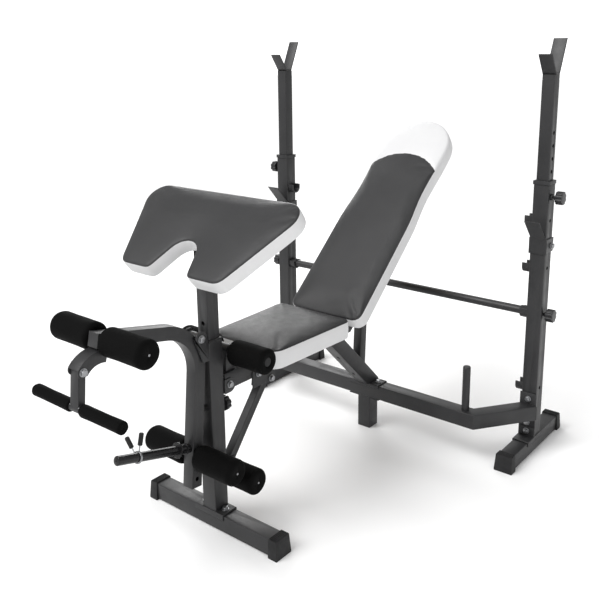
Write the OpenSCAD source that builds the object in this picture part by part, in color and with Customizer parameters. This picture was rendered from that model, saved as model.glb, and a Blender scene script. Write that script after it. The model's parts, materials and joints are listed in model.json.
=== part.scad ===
// Adjustable weight bench: a bar rack with telescoping hooks, a seat with a
// reclining back, a leg lever with an arm-curl handle, and a sloping arm pad.
// Millimetres, +Z up, +X to the sitter's left, +Y towards the bar rack.
// The origin is on the floor, in the middle of the bench's footprint.

/* [Frame tube] */
// Outer width of the square frame tube
tube = 50; // [45:1:55]
// Wall thickness of all square tube
wall = 2; // [1.5:0.5:3]
// Outer width of the sliding inner tubes
inner_tube = 40; // [36:1:40]
// Length of the front foot over its end caps
front_foot_len = 500; // [420:10:600]
// Length of each rear foot over its end caps
rear_foot_len = 400; // [340:10:460]

/* [Bar rack] */
// Distance between the centres of the two uprights
rack_span = 1060; // [980:10:1120]
// Distance from the front post to the uprights
rack_reach = 953; // [930:1:980]
// Height of the outer upright tubes
upright_top = 905; // [880:5:930]
// Height of the bottom of the bar hooks
hook_height = 1243; // [1180:1:1300]
// Spacing of the height holes in the sliding tubes
hole_pitch = 40; // [30:5:40]

/* [Seat and back] */
// Height of the underside of the seat rail
rail_height = 403; // [390:1:420]
// Width of the seat cushion at its rear
seat_w = 286; // [260:2:300]
// Length of the seat cushion
seat_len = 344; // [320:2:350]
// Half of the back cushion's width at its hips
back_half_w = 143; // [130:1:150]
// Length of the back cushion
back_len = 856; // [820:2:860]
// Angle of the back above the horizontal
back_angle = 41.9; // [40:0.1:43]

/* [Leg lever and arm pad] */
// Outer width of the lever's square tube
lever_tube = 36; // [32:1:38]
// Radius of the lever's bend, on its centre line
lever_bend = 130; // [120:1:140]
// Outer radius of the foam rollers
roller_r = 36.5; // [30:0.5:36.5]
// Angle of the arm pad above the horizontal
arm_pad_angle = 36.3; // [34:0.1:40]
// Length of the plate peg on the lever
peg_len = 243; // [180:1:260]

/* [Hidden] */
$fn = 48;
half = tube / 2;
foot_top = tube + 3.6;          // the end caps lift the feet off the floor
cap_len = 27;
post_y = -363;                    // the front post stands this far in front of the origin
upright_x = rack_span / 2;
steel = [0.22, 0.22, 0.23];
vinyl = [0.25, 0.25, 0.26];
black = [0.07, 0.07, 0.07];
zinc = [0.72, 0.73, 0.75];

// front post and the parts on it
plate_t = 5;
post_bottom = foot_top + plate_t;
post_top = 560;
foot_axle_z = 189;
arm_knob_z = 354;
arm_hole_pitch = 51;
pin_r = 4.2;
hole_r = 6.2;                   // the holes of the inner tubes, wide enough to find by feel
axle_r = 12.5;

// seat rail
rail_z = rail_height + half;
knee_y = 505;
cross_z = 145;                  // centre height of the cross tube
cross_y = 762;
saddle_t = 4;
rail_foot_z = cross_z + half + saddle_t;
strut_holes = [98, 222];        // distances down the slope from the knee
slope_dir = [0, 1, -1] / sqrt(2);

// brace between the front post and the rail
brace_tube = 25;
brace_low = [0, 42, 159.7];
brace_high = [0, 226, 391];

// thigh roller post
thigh_axle = [0, 60, 512];

// rack
bar_z = 480;
cradle_zs = [790, 635, 480, 225];
cradle_r = 16.8;
knob_z = 865;
riser_bottom = 650;
riser_top = hook_height - 2.5;

// back frame: u runs up the back from its lower edge, d goes behind its front face
back_edge = [0, 495, 495];
back_foam = 40;
board_t = 12;
back_depth = back_foam + board_t;
hinge_ud = [-13.2, 34];
back_tube_x = 92;
back_tube = 25;
strut_ud = [222, 95];
strut_w = 32;
strut_foot_sum = cross_y + cross_z + half + 36.5;  // y + z on the sloping tube's rear face
strut_lean = -3.4;

// lever: s runs forwards from the post, so y = -s
pivot = [0, -52, 580];
bend_centre = [0, -182.1, 497.39];
leg_lean = 5.5;
nose_rise = 12;
leg_len = 326.8;
nose_len = 214.8;
ankle_on_leg = 236.79;
upper_on_nose = 187.79;
peg_rise = 16.1;
peg_foot = [0, -89, 273.5];
clevis_centre = [0, -362, 567];
clevis_r = [48, 80];
curl_pivot = [0, -411, 609];
curl_bar_at = [0, -420, 520];

// arm pad
arm_edge = [0, -139.8, 782.8];
arm_foam = 33;
arm_pad_len = 283;

// ---------- helpers ----------

// everything is measured from the foot of the front post
module from_post() translate([0, post_y, 0]) children();

module both_sides() {
    children();
    mirror([1, 0, 0]) children();
}

// a solid cylinder of length len centred at the origin along X, Y or Z
module rod_x(r, len) rotate([0, 90, 0]) cylinder(r = r, h = len, center = true);
module rod_y(r, len) rotate([90, 0, 0]) cylinder(r = r, h = len, center = true);
module rod_z(r, len) cylinder(r = r, h = len, center = true);

// a centred square tube along Z, open at both ends
module square_tube(w, len, d = 0) {
    deep = d == 0 ? w : d;
    difference() {
        cube([w, deep, len], center = true);
        cube([w - 2 * wall, deep - 2 * wall, len + 2], center = true);
    }
}

// a plate in the Y-Z plane, t thick, centred on x
module side_plate(x, t) translate([x - t / 2, 0, 0]) rotate([90, 0, 90]) linear_extrude(t) children();

// the mitred outline, offset sideways by off, at point i of a path
function unit(v) = v / norm(v);
function left_of(v) = [-v[1], v[0]];
function mitre(p, i, off) =
    let (a = i == 0 ? unit(p[1] - p[0]) : unit(p[i] - p[i - 1]))
    let (b = i == len(p) - 1 ? a : unit(p[i + 1] - p[i]))
    let (n = unit(left_of(a) + left_of(b)))
    p[i] + n * off / (n * left_of(a));

// the flat band of width 2 * h along a path
module band(p, h) polygon(concat(
    [for (i = [0 : len(p) - 1]) mitre(p, i, h)],
    [for (i = [len(p) - 1 : -1 : 0]) mitre(p, i, -h)]));

// a bolt whose head sits at the origin, with its shank along -Z
module hex_bolt(len, r = 4.9) {
    translate([0, 0, 2]) cylinder(r = 8.5, h = 6.5, $fn = 6);
    cylinder(r = 10.5, h = 2);
    translate([0, 0, -len]) cylinder(r = r, h = len);
}

// a cross bolt along X with a head and a nut, grip long between them
module cross_bolt(grip, r = 4.9) {
    translate([grip / 2, 0, 0]) rotate([0, 90, 0]) hex_bolt(grip + 8, r);
    translate([-grip / 2 - 6, 0, 0]) rotate([0, 90, 0]) difference() {
        cylinder(r = 8.5, h = 6, $fn = 6);
        translate([0, 0, -1]) cylinder(r = r, h = 8);
    }
}

// ---------- front foot and post ----------

base_bolt_x = 38;

module front_foot() from_post() color(steel) difference() {
    translate([0, 0, foot_top - half]) rotate([0, 90, 0])
        square_tube(tube, front_foot_len - 8);
    for (x = [-base_bolt_x, base_bolt_x])
        translate([x, 0, foot_top - 10]) cylinder(r = 5.1, h = 20);
}

// one ribbed rubber end cap, flared to its foot, on a tube that ends at the origin along -X
module foot_cap() difference() {
    union() {
        hull() {
            translate([-cap_len + 4, -half - 5.5, 0]) cube([cap_len + 4, tube + 11, 6]);
            translate([-cap_len + 4, -half - 2.2, foot_top + 1.5])
                cube([cap_len, tube + 4.4, 0.7]);
        }
        for (i = [0 : 4])
            translate([-cap_len + 5.5 + i * 5.2, -half, foot_top + 2]) cube([2.6, tube, 2.4]);
    }
    translate([-cap_len - 1, -half, foot_top - tube]) cube([cap_len + 1, tube, tube]);
}

module foot_caps() from_post() color(black) {
    both_sides() translate([front_foot_len / 2 - 4, 0, 0]) foot_cap();
    both_sides() for (end = [-1, 1])
        translate([upright_x, rack_reach + end * (rear_foot_len / 2 - 4), 0])
            rotate([0, 0, end * 90]) foot_cap();
}

boss_len = 6;

module front_post() from_post() color(steel) difference() {
    union() {
        translate([0, half, arm_knob_z]) rotate([-90, 0, 0]) cylinder(r = 10, h = boss_len);
        translate([0, 0, (post_bottom + post_top) / 2])
            square_tube(tube, post_top - post_bottom);
        difference() {
            translate([-55, -half - 3, foot_top - 13]) cube([110, tube + 6, 13 + plate_t]);
            translate([-56, -half, foot_top - 20]) cube([112, tube, 20]);
        }
    }
    translate([0, 0, foot_axle_z]) rod_x(axle_r + 0.3, tube + 4);
    translate([0, half, arm_knob_z]) rod_y(pin_r + 0.2, 3 * boss_len);
    for (x = [-base_bolt_x, base_bolt_x])
        translate([x, 0, foot_top - 10]) cylinder(r = 5.1, h = 20);
}

// plastic liner that guides the sliding post
module post_bushing() from_post() color(black) difference() {
    liner = tube - 2 * wall - 0.2;
    union() {
        translate([-liner / 2, -liner / 2, post_top - 55]) cube([liner, liner, 56]);
        translate([-half, -half, post_top]) cube([tube, tube, 4]);
    }
    slot = inner_tube + 0.5;
    translate([-slot / 2, -slot / 2, post_top - 60]) cube([slot, slot, 70]);
}

ear_t = 4.8;
ear_x = half - ear_t / 2;

module pivot_bracket() from_post() color(steel) difference() {
    both_sides() side_plate(ear_x, ear_t) hull() {
        translate([pivot[1], pivot[2]]) circle(r = 21, $fn = 32);
        translate([-47, 511]) square([47 - half, 42]);
    }
    translate(pivot) rod_x(6.2, 4 * tube);
}

module pivot_bolt() from_post() color(zinc) translate(pivot) {
    grip = tube;
    translate([grip / 2, 0, 0]) rotate([0, 90, 0]) {
        cylinder(r = 11, h = 2);
        translate([0, 0, 2]) cylinder(r = 9, h = 6, $fn = 6);
        translate([0, 0, -grip - 7]) cylinder(r = 6, h = grip + 7);
    }
    translate([-grip / 2 - 6.5, 0, 0]) rotate([0, 90, 0]) difference() {
        cylinder(r = 10, h = 6.5, $fn = 6);
        translate([0, 0, -1]) cylinder(r = 6, h = 9);
    }
}

// rubber stop that the lever rests against
module post_bumper() from_post() color(black)
    translate([0, -half, 368]) rotate([90, 0, 0]) cylinder(r = 9, h = 20);

// ---------- seat rail and brace ----------

rail_path = [[half + 3.4, rail_z], [knee_y, rail_z], [knee_y + 300, rail_z - 300]];
clamp_bolt = [0, 44, 420];
tab_bolt = [0, 161, 412];
brace_bolts = [[0, 52, 172], [0, 216, 378]];

// a bore across the sloping tube, d down its centre line from the knee
module across_slope(d, r) translate([0, knee_y, rail_z] + slope_dir * d)
    rotate([-45, 0, 0]) rod_z(r, tube + 4);

module seat_rail() from_post() color(steel) difference() {
    side_plate(0, tube) band(rail_path, half);
    side_plate(0, tube - 2 * wall) band(rail_path, half - wall);
    translate([-tube, knee_y, 0]) cube([2 * tube, 400, rail_foot_z]);
    for (d = strut_holes) across_slope(d + 41, 6);
    for (at = [clamp_bolt, tab_bolt]) translate(at) rod_x(5.1, 2 * tube);
    translate(hinge) rod_x(10.8, 2 * tube);
}

// pairs of plates that join the rail to the post, and the brace to both
module rail_plates() from_post() color(steel) difference() {
    union() {
        translate([-half - 4.3, half, 396]) cube([tube + 8.6, 3, 42]);
        both_sides() side_plate(half + 2.3, 4) union() {
            translate([half, 396]) square([20, 42]);
            translate([half + 20, 417]) circle(r = 21);
        }
        both_sides() side_plate(half + 1.8, 3) translate([137, 371]) square([98, 52]);
        both_sides() side_plate(brace_tube / 2 + 1.8, 3)
            translate([half, 140]) square([42, 48]);
    }
    for (at = concat(brace_bolts, [clamp_bolt, tab_bolt])) translate(at) rod_x(5.1, 2 * tube);
}

brace_tilt = atan2(brace_high[1] - brace_low[1], brace_high[2] - brace_low[2]);

module brace() from_post() color(steel) difference() {
    translate((brace_low + brace_high) / 2) rotate([-brace_tilt, 0, 0])
        square_tube(brace_tube, norm(brace_high - brace_low));
    for (at = brace_bolts) translate(at) rod_x(5.1, 2 * tube);
}

// ---------- cross tube, saddles and legs ----------

cross_path = [[-upright_x - 40, 976.6], [-415, cross_y], [415, cross_y], [upright_x + 40, 976.6]];
rack_face = rack_reach - half;          // front face of the uprights
saddle_bolt_x = 45;
rack_bolt_zs = [106, 189];
foot_bolt_z = 74;

module cross_tube() from_post() color(steel) difference() {
    union() {
        difference() {
            translate([0, 0, cross_z - half]) linear_extrude(tube) band(cross_path, half);
            translate([0, 0, cross_z - half + wall])
                linear_extrude(tube - 2 * wall) band(cross_path, half - wall);
            translate([-700, rack_face - plate_t, 0]) cube([1400, 200, 400]);
        }
        both_sides() translate([upright_x - 28, rack_face - plate_t, 92])
            cube([56, plate_t, 118]);
    }
    for (x = [-saddle_bolt_x, saddle_bolt_x])
        translate([x, cross_y, cross_z]) rod_z(5.1, 2 * tube);
    both_sides() for (z = rack_bolt_zs) translate([upright_x, rack_reach, z]) rod_y(5.1, 100);
}

// bent plates that seat one tube on another
module tube_saddles() from_post() color(steel) {
    difference() {
        translate([-62, cross_y - half - 3, rail_foot_z - 14]) cube([124, tube + 6, 14]);
        translate([-63, cross_y - half, rail_foot_z - 20]) cube([126, tube, 16]);
        for (x = [-saddle_bolt_x, saddle_bolt_x])
            translate([x, cross_y, cross_z]) rod_z(5.1, 2 * tube);
    }
    both_sides() difference() {
        union() {
            translate([upright_x - half - 3, rack_face - 50, foot_top - 12])
                cube([tube + 6, tube + 50, 12 + saddle_t]);
            translate([upright_x - 28, rack_face - saddle_t, foot_top])
                cube([56, saddle_t, 37]);
        }
        translate([upright_x - half, rack_face - 60, foot_top - 20]) cube([tube, 130, 20]);
        translate([upright_x, rack_reach, foot_bolt_z]) rod_y(5.1, 100);
    }
}

module storage_pegs() from_post() color(black) both_sides()
    translate([385, cross_y, cross_z + half]) {
        cylinder(r = 12.5, h = 148);
        translate([0, 0, 148]) cylinder(r1 = 12.5, r2 = 10.5, h = 3);
    }

module mid_leg() from_post() color(steel) difference() {
    union() {
        translate([0, cross_y, (cross_z - half - saddle_t) / 2])
            square_tube(tube, cross_z - half - saddle_t);
        translate([-half, cross_y - half, 0]) cube([tube, tube, 4]);
        translate([-62, cross_y - half, cross_z - half - saddle_t])
            cube([124, tube, saddle_t]);
    }
    for (x = [-saddle_bolt_x, saddle_bolt_x])
        translate([x, cross_y, cross_z]) rod_z(5.1, 2 * tube);
}

upright_bottom = foot_top + saddle_t;

module uprights() from_post() color(steel) both_sides() difference() {
    union() {
        translate([upright_x, rack_reach, (upright_bottom + upright_top) / 2])
            square_tube(tube, upright_top - upright_bottom);
        translate([upright_x + half, rack_reach, knob_z]) rotate([0, 90, 0])
            cylinder(r = 10, h = boss_len);
    }
    for (z = cradle_zs) translate([upright_x, rack_reach, z]) rod_x(6, tube + 4);
    translate([upright_x + half, rack_reach, knob_z]) rod_x(pin_r + 0.2, 3 * boss_len);
    for (z = concat(rack_bolt_zs, [foot_bolt_z]))
        translate([upright_x, rack_reach, z]) rod_y(5.1, 100);
}

// one open cup that takes the end of the crossbar
module cradle() difference() {
    union() {
        rod_x(cradle_r + 4.2, 26);
        translate([-13, -cradle_r - 4.2, 0]) cube([26, 2 * cradle_r + 8.4, 12]);
    }
    rod_x(cradle_r, 28);
    translate([-14, -cradle_r, 0]) cube([28, 2 * cradle_r, 30]);
    translate([-14, -40, 12]) cube([28, 80, 30]);
}

module bar_cradles() from_post() color(black) both_sides()
    for (z = cradle_zs) translate([upright_x - half - 13, rack_reach, z]) cradle();

// plastic collars that guide the sliding tubes
module upright_collars() from_post() color(black) both_sides() difference() {
    liner = tube - 2 * wall - 0.2;
    union() {
        translate([upright_x, rack_reach, upright_top - 30]) cube([liner, liner, 62], center = true);
        translate([upright_x, rack_reach, upright_top + 6])
            cube([tube + 4, tube + 4, 12], center = true);
    }
    translate([upright_x, rack_reach, upright_top])
        cube([inner_tube + 0.5, inner_tube + 0.5, 200], center = true);
    translate([upright_x + half, rack_reach, knob_z]) rod_x(pin_r + 0.3, 16);
}

catch_bolt_y = rack_reach + 13;

// low hooks that stop a dropped bar
module bar_catches() from_post() color(steel) both_sides() difference() {
    union() {
        side_plate(upright_x, tube + 8)
            band([[rack_face - 2, 683], [rack_face - 2, 736]], 2);
        side_plate(upright_x, tube)
            band([[rack_face - 2, 712], [rack_face - 2, 735], [rack_face - 59, 797]], 1.7);
        for (x = [-half - 2, half + 2])
            side_plate(upright_x + x, 3.8) translate([rack_face - 1, 687]) square([56, 46]);
    }
    translate([upright_x, catch_bolt_y, 707]) rod_x(4.1, 2 * tube);
}

module rear_feet() from_post() color(steel) both_sides()
    translate([upright_x, rack_reach, foot_top - half]) rotate([90, 0, 0])
        square_tube(tube, rear_foot_len - 8);

// ---------- crossbar ----------

bar_r = 13.5;
bar_screw_r = 5;

module crossbar() from_post() color(steel)
    translate([0, rack_reach, bar_z]) difference() {
        rod_x(bar_r, 2 * (upright_x - half) - 2);
        rod_x(bar_r - wall, 2 * (upright_x - half) - 90);
        both_sides() translate([upright_x - half - 30, 0, 0]) rod_x(bar_screw_r + 0.2, 70);
    }

module crossbar_sleeves() from_post() color(black) both_sides()
    translate([upright_x - half - 14.5, rack_reach, bar_z]) difference() {
        rod_x(cradle_r - 0.1, 27);
        rod_x(bar_r, 29);
    }

// ---------- seat ----------

seat_y = 118;
seat_board_z = rail_height + tube + plate_t;
seat_front_w = seat_w - 20;

module seat_outline(inset) hull() {
    for (x = [-1, 1]) {
        translate([x * (seat_front_w / 2 - 38), seat_y + 38]) circle(r = 38 - inset, $fn = 32);
        translate([x * (seat_w / 2 - 24), seat_y + seat_len - 24])
            circle(r = 24 - inset, $fn = 32);
    }
}

module seat_brackets() from_post() color(steel)
    for (y = [seat_y + 62, seat_y + 262])
        translate([-95, y, rail_height + tube]) cube([190, 32, plate_t]);

module seat_board() from_post() color("burlywood")
    translate([0, 0, seat_board_z]) linear_extrude(board_t) seat_outline(4);

module seat_pad() from_post() color(vinyl) {
    translate([0, 0, seat_board_z + board_t]) linear_extrude(33) seat_outline(0);
    hull() {
        translate([0, 0, seat_board_z + board_t + 32]) linear_extrude(2) seat_outline(2);
        translate([0, 0, seat_board_z + board_t + 44]) linear_extrude(2) seat_outline(24);
    }
}

// ---------- backrest ----------

// turns (x, u, d) into the bench: u up the back, d behind its front face
module on_back() translate(back_edge) rotate([back_angle, 0, 0]) mirror([0, 0, 1]) children();
function back_point(u, d) = back_edge
    + [0, u * cos(back_angle) + d * sin(back_angle), u * sin(back_angle) - d * cos(back_angle)];

hinge = back_point(hinge_ud[0], hinge_ud[1]);
head_r = 138;

// half width of the cushion, u up from its lower edge
function back_half(u) = u < 370 ? back_half_w
    : u < 530 ? back_half_w - 5.5 * (1 - cos((u - 370) / 160 * 180))
    : u < 700 ? back_half_w - 11 + 3 * (1 - cos((u - 530) / 170 * 180))
    : head_r;
back_side = [for (u = [370 : 30 : 690]) [back_half(u), u]];
back_far_side = [for (i = [len(back_side) - 1 : -1 : 0]) [-back_side[i][0], back_side[i][1]]];
head_arc = [for (a = [0 : 7.5 : 180])
    [head_r * cos(a), back_len - head_r + head_r * sin(a)]];
low_corner_r = 32;
low_corner = [for (a = [-90 : 15 : 0])
    [back_half_w - low_corner_r + low_corner_r * cos(a), low_corner_r + low_corner_r * sin(a)]];
far_corner = [for (i = [len(low_corner) - 1 : -1 : 0]) [-low_corner[i][0], low_corner[i][1]]];

module back_outline() polygon(concat(low_corner, back_side, head_arc, back_far_side, far_corner));

module back_pad() from_post() color(vinyl) on_back() {
    linear_extrude(back_foam) back_outline();
}

module back_board() from_post() color("burlywood") on_back()
    translate([0, 0, back_foam]) linear_extrude(board_t) offset(delta = -5) back_outline();

frame_d = back_depth + 0.3;

module back_frame() from_post() color(steel) on_back() difference() {
    union() {
        both_sides() translate([back_tube_x, 325, frame_d + back_tube / 2]) rotate([90, 0, 0])
            square_tube(back_tube, 610);
        for (u = [60, strut_ud[0], 590])
            translate([0, u, frame_d + back_tube / 2]) rotate([0, 90, 0])
                square_tube(back_tube, 2 * back_tube_x - back_tube);
        both_sides() side_plate(back_tube_x - back_tube / 2 - 2.5, plate_t) union() {
            translate(hinge_ud) circle(r = 10.5);
            polygon([[-23.7, 34], [-2.7, 34], [-2.7, frame_d], [60, frame_d],
                     [60, frame_d + back_tube], [-4, frame_d + back_tube], [-23.7, 58]]);
        }
        both_sides() side_plate(strut_w / 2 + 3, plate_t) union() {
            translate(strut_ud) circle(r = 12);
            translate([strut_ud[0] - 12, frame_d + back_tube])
                square([24, strut_ud[1] - frame_d - back_tube]);
        }
    }
    translate([0, hinge_ud[0], hinge_ud[1]]) rod_x(5.1, 400);
    translate([0, strut_ud[0], strut_ud[1]]) rod_x(5.1, 100);
}

// the tube on the rail that the back turns on
module hinge_bracket() from_post() color(steel) difference() {
    union() {
        translate(hinge) rod_x(10.5, 2 * (back_tube_x - back_tube / 2 - 5.5));
        both_sides() side_plate(half + 2.3, 4) union() {
            translate([hinge[1], hinge[2]]) circle(r = 12);
            translate([hinge[1] - 26, 415]) square([38, hinge[2] - 415]);
        }
    }
    translate(hinge) rod_x(5.1, 400);
}

// ---------- strut ----------

strut_top = back_point(strut_ud[0], strut_ud[1]);

// the plane of the sloping tube's rear face, with +Y down the slope
module on_slope() translate([0, 0, strut_foot_sum]) rotate([-45, 0, 0]) children();
strut_foot = (strut_top[1] - tan(strut_lean) * (strut_top[2] - 262)) * sqrt(2);
strut_gap = 0.4;

module strut() from_post() color(steel) difference() {
    union() {
        on_slope() translate([-strut_w / 2, strut_foot - 30, strut_gap])
            cube([strut_w, 62, 4]);
        translate(strut_top) rotate([strut_lean, 0, 0]) difference() {
            union() {
                translate([0, 0, -250]) square_tube(strut_w, 484);
                rod_x(strut_w / 2, strut_w);
            }
            translate([0, 0, -24]) cube([strut_w - 2 * wall, strut_w - 2 * wall, 64], center = true);
        }
    }
    translate(strut_top) rod_x(5.1, 100);
    on_slope() translate([-50, 0, -200]) cube([100, 1600, 200 + strut_gap]);
}

// a headed pin along X, grip long between its heads
module headed_pin(grip) {
    rod_x(5.03, grip + 4);
    both_sides() translate([grip / 2 + 2, 0, 0]) rod_x(8, 4);
}

// the pins that the back turns on and that the strut hangs from
module back_pins() from_post() color(zinc) {
    translate(hinge) headed_pin(2 * back_tube_x - back_tube + 0.4);
    translate(strut_top) headed_pin(strut_w + 11.4);
}

// ---------- rollers ----------

module axle_tube(half_len) difference() {
    rod_x(axle_r, 2 * half_len);
    rod_x(axle_r - wall, 2 * half_len - 12);
}

// two foam rollers, from x = near to x = far on each side
module foam_pair(near, far) both_sides() translate([(near + far) / 2, 0, 0]) difference() {
    union() {
        rod_x(roller_r, far - near - 20);
        rod_x(roller_r - 5, far - near);
        for (x = [-1, 1]) translate([x * ((far - near) / 2 - 10), 0, 0])
            rotate([0, x * 90, 0]) cylinder(r1 = roller_r, r2 = roller_r - 8, h = 9);
    }
    rod_x(axle_r, far - near + 2);
}

ankle_axle = bend_centre + [0, lever_bend * cos(leg_lean), -lever_bend * sin(leg_lean)]
    + ankle_on_leg * [0, -sin(leg_lean), -cos(leg_lean)];
upper_axle = bend_centre + [0, lever_bend * sin(nose_rise), lever_bend * cos(nose_rise)]
    + upper_on_nose * [0, -cos(nose_rise), sin(nose_rise)];

module thigh_axle_tube() from_post() color(steel) translate(thigh_axle) axle_tube(158);
module foot_axle_tube() from_post() color(steel) translate([0, 0, foot_axle_z]) axle_tube(166);
module ankle_axle_tube() from_post() color(steel) translate(ankle_axle) axle_tube(163);
module upper_axle_tube() from_post() color(steel) translate(upper_axle) axle_tube(164);

module thigh_rollers() from_post() color(black) translate(thigh_axle) foam_pair(34, 161);
module foot_rollers() from_post() color(black) translate([0, 0, foot_axle_z]) foam_pair(28, 169);
module ankle_rollers() from_post() color(black) translate(ankle_axle) foam_pair(24, 166);
module upper_rollers() from_post() color(black) translate(upper_axle) foam_pair(21, 167);

// the short post on the rail that carries the thigh rollers
module thigh_bracket() from_post() color(steel) difference() {
    union() {
        translate([-17, thigh_axle[1] - 17, rail_height + tube])
            cube([34, 34, thigh_axle[2] - rail_height - tube]);
        translate(thigh_axle) rod_x(17, 40);
    }
    translate(thigh_axle) rod_x(axle_r + 0.3, 60);
}

// ---------- leg lever ----------

module lever_bore(at, r) translate(at) rod_x(r, 2 * tube);

// a square ring section swept through the lever's bend
module lever_sweep(w) translate(bend_centre) rotate([90, 0, 90]) rotate([0, 0, -leg_lean])
    rotate_extrude(angle = 90 + leg_lean - nose_rise, $fn = 96)
        translate([lever_bend - w / 2, -w / 2]) square(w);

// the straight parts of the lever, w wide
module lever_straights(w, extra) {
    translate(bend_centre) rotate([-leg_lean, 0, 0])
        translate([-w / 2, lever_bend - w / 2, -leg_len + wall - extra])
            cube([w, w, leg_len - wall + extra]);
    translate(bend_centre) rotate([-nose_rise, 0, 0])
        translate([-w / 2, -nose_len + wall - extra, lever_bend - w / 2])
            cube([w, nose_len - wall + extra, w]);
}

module lever_shape(w, extra) {
    lever_sweep(w);
    lever_straights(w, extra);
}

module lever_arm() from_post() color(steel) difference() {
    union() {
        difference() {
            lever_shape(lever_tube, wall);
            lever_shape(lever_tube - 2 * wall, 0);
        }
        translate(pivot) rod_x(15, tube - 2 * ear_t - 1);
    }
    lever_bore(pivot, 6.1);
    lever_bore(ankle_axle, axle_r + 0.3);
    lever_bore(upper_axle, axle_r + 0.3);
    lever_bore(ankle_axle + 65 * [0, -sin(leg_lean), -cos(leg_lean)], 6);
}

// plate peg: a bar on the lever's front face, with a flange and an end cap
module on_peg() translate(peg_foot) rotate([90 - peg_rise, 0, 0]) children();

module weight_peg() from_post() color(black) difference() {
    on_peg() {
        cylinder(r = axle_r, h = peg_len);
        translate([0, 0, 12]) cylinder(r = 15, h = 6);
        translate([0, 0, 41]) cylinder(r = 21, h = 5);
        translate([0, 0, peg_len]) cylinder(r1 = axle_r, r2 = axle_r - 3, h = 3);
    }
    lever_straights(lever_tube, wall);
}

// curved channel under the lever's nose, which carries the curl handle
clevis_in = 16.4;
clevis_t = 3;
clevis_end = 38;                // angle of the channel's lower end above the horizontal

// everything between the channel's lower end and its end behind the nose
module clevis_wedge() translate(clevis_centre) side_plate(0, 3 * tube)
    polygon([[0, 0], [38, 120], [-150, 120], [-150, 150 * tan(clevis_end)]]);

module curl_clevis() from_post() color(steel) difference() {
    union() {
        intersection() {
            clevis_wedge();
            difference() {
                translate(clevis_centre) rod_x(clevis_r[1] - 0.6, 2 * (clevis_in + clevis_t));
                translate(clevis_centre) rod_x(clevis_r[1] - 4.6, 2 * clevis_in);
                translate(clevis_centre) rod_x(clevis_r[0], 4 * clevis_in);
            }
        }
        both_sides() translate([clevis_in + clevis_t / 2, curl_pivot[1], curl_pivot[2]])
            rod_x(14.7, clevis_t);
    }
    translate(curl_pivot) rod_x(5.1, 100);
    translate(bend_centre) rotate([-nose_rise, 0, 0])
        translate([-40, -nose_len, lever_bend - lever_tube / 2 - 0.05])
            cube([80, nose_len, 60]);
}

module curl_pivot_bolt() from_post() color(zinc) translate(curl_pivot)
    cross_bolt(2 * (clevis_in + clevis_t), 5.03);

// ---------- curl handle ----------

curl_tilt = atan2(curl_pivot[1] - curl_bar_at[1], curl_pivot[2] - curl_bar_at[2]);
curl_drop = norm(curl_pivot - curl_bar_at);
curl_bar_r = 11;
stem_half = 15.9;

module curl_bar() from_post() color(zinc) difference() {
    translate(curl_pivot) rotate([-curl_tilt, 0, 0]) {
        translate([-stem_half, -9.5, -curl_drop]) cube([2 * stem_half, 19, curl_drop]);
        rod_x(9.5, 2 * stem_half);
        translate([0, 0, -curl_drop]) rod_x(curl_bar_r, 326);
    }
    translate(curl_pivot) rod_x(5.1, 100);
}

module curl_grips() from_post() color(black) translate(curl_bar_at) both_sides()
    translate([93, 0, 0]) difference() {
        union() {
            rod_x(16.3, 140);
            rod_x(13.3, 146);
        }
        translate([-5, 0, 0]) rod_x(curl_bar_r, 150.2);
    }

// ---------- spring collar ----------

collar_at = 179;
collar_handles = [3, 54];       // angles from upright, towards -X

module spring_collar() from_post() color(zinc) on_peg() translate([0, 0, collar_at]) {
    difference() {
        translate([0, 0, -5]) cylinder(r = 16.5, h = 10);
        translate([0, 0, -6]) cylinder(r = axle_r + 0.2, h = 12);
    }
    for (i = [0, 1]) rotate([0, 0, collar_handles[i]]) translate([0, 14, 5 * i - 2.5])
        rotate([-90, 0, 0]) {
            cylinder(r = 1.8, h = 26);
            translate([0, 0, 16]) cylinder(r = 6, h = 32);
        }
}

// ---------- arm pad ----------

// turns (x, u, d) into the bench: u up the pad's slope, d behind its face
module on_arm() translate(arm_edge) rotate([arm_pad_angle, 0, 0]) mirror([0, 0, 1]) children();

module arm_outline() offset(r = 16, $fn = 48) offset(delta = -16) difference() {
    hull() for (x = [-1, 1]) {
        translate([x * 160, 30]) circle(r = 32, $fn = 32);
        translate([x * 222, arm_pad_len - 54]) circle(r = 54, $fn = 32);
    }
    hull() {
        translate([0, 60]) circle(r = 46, $fn = 32);
        translate([-72, -20]) square([144, 10]);
    }
}

module arm_pad() from_post() color(vinyl) on_arm() linear_extrude(arm_foam) arm_outline();
module arm_board() from_post() color("burlywood") on_arm()
    translate([0, 0, arm_foam]) linear_extrude(board_t) offset(delta = -5) arm_outline();

arm_post_bottom = 325;
arm_post_top = 795;

module arm_post() from_post() color(steel) difference() {
    translate([0, 0, (arm_post_bottom + arm_post_top) / 2])
        square_tube(inner_tube, arm_post_top - arm_post_bottom);
    for (i = [0 : 5]) translate([0, 0, arm_knob_z + i * arm_hole_pitch])
        rod_y(hole_r, tube);
    translate([0, 0, 770]) rod_x(5.1, 2 * tube);
}

// tilted plate and cheeks that carry the arm pad on its post, with their bolt
module arm_bracket() from_post() color(steel) {
    difference() {
        union() {
            on_arm() translate([-60, 110, arm_foam + board_t]) cube([120, 130, plate_t]);
            both_sides() side_plate(inner_tube / 2 + 2.2, 4)
                polygon([[-20, 745], [20, 745], [20, 836], [-20, 807]]);
        }
        translate([0, 0, 770]) rod_x(5.1, 2 * tube);
    }
    translate([0, 0, 770]) cross_bolt(inner_tube + 8.5);
}

// ---------- sliding tubes and bar hooks ----------

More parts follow.
